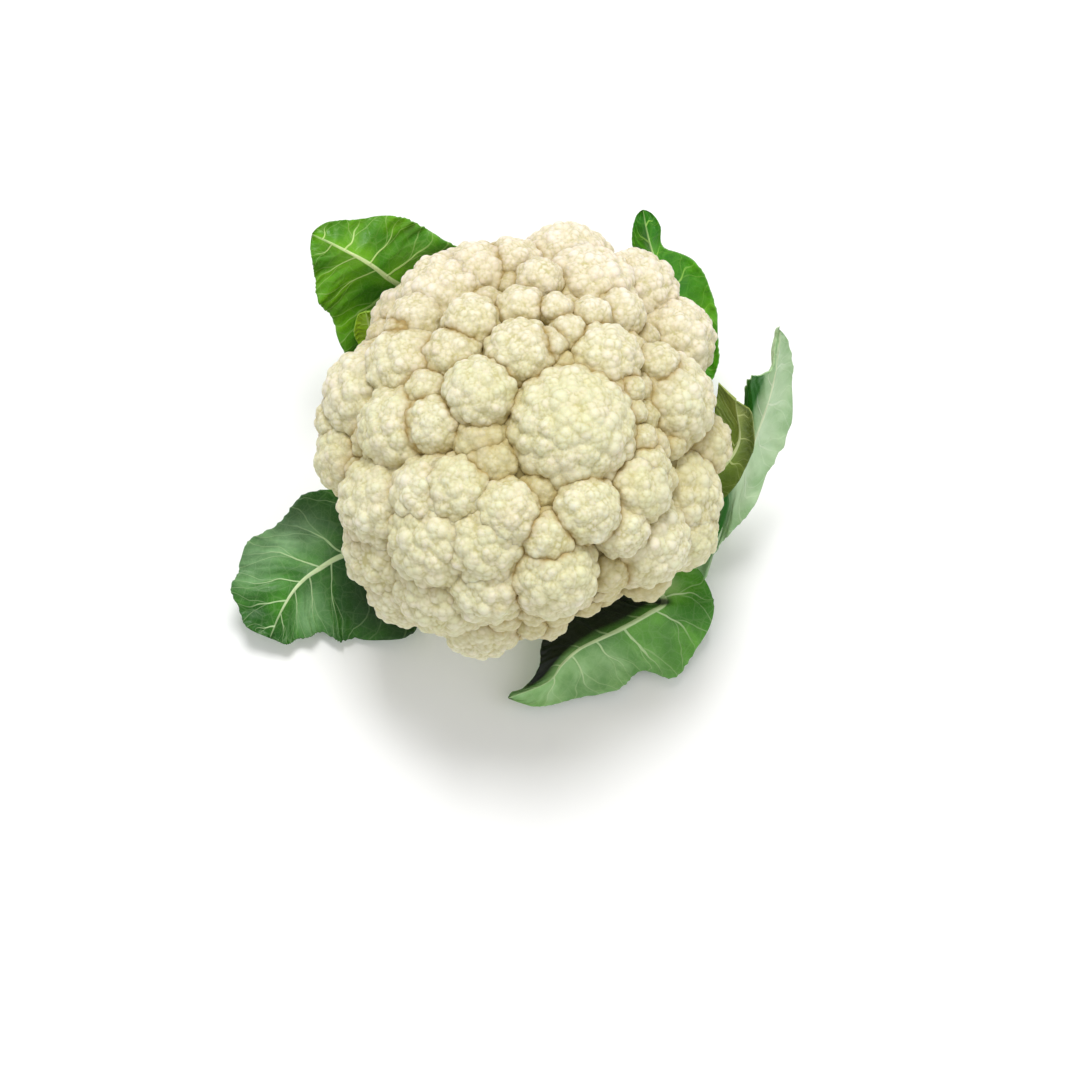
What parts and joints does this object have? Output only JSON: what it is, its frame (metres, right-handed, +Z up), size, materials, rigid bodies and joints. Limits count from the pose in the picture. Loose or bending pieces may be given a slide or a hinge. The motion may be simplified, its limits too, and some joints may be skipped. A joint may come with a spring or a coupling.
{
  "type": "cauliflower",
  "caption": "Whole head of cauliflower with a knobbly cream curd, a short cut stalk and loose green wrapper leaves, standing on the flat cut of its stalk.",
  "frame": {"origin": "centre of the flat cut at the foot of the stalk", "axes": "+Z up through the stalk and the curd, -Y towards the viewer's front, +X to the viewer's right"},
  "size_m": [0.231, 0.1909, 0.1449],
  "materials": {
    "curd": "matt, cream, slightly waxy",
    "stalk": "smooth, pale green",
    "leaf_bright": "satin, fresh green with pale veins",
    "leaf_pale": "satin, blue-grey waxy bloom",
    "leaf_dark": "satin, dark green with pale veins",
    "leaf_inner": "satin, yellow green"
  },
  "bodies": {
    "root": {"curd": "curd", "stalk": "stalk", "leaf_back_left": "leaf_bright", "leaf_back_right": "leaf_bright", "leaf_right": "leaf_pale", "leaf_front_right": "leaf_dark", "leaf_front_left": "leaf_dark", "leaf_inner_left": "leaf_inner", "leaf_inner_right": "leaf_inner"}
  },
  "joints": []
}
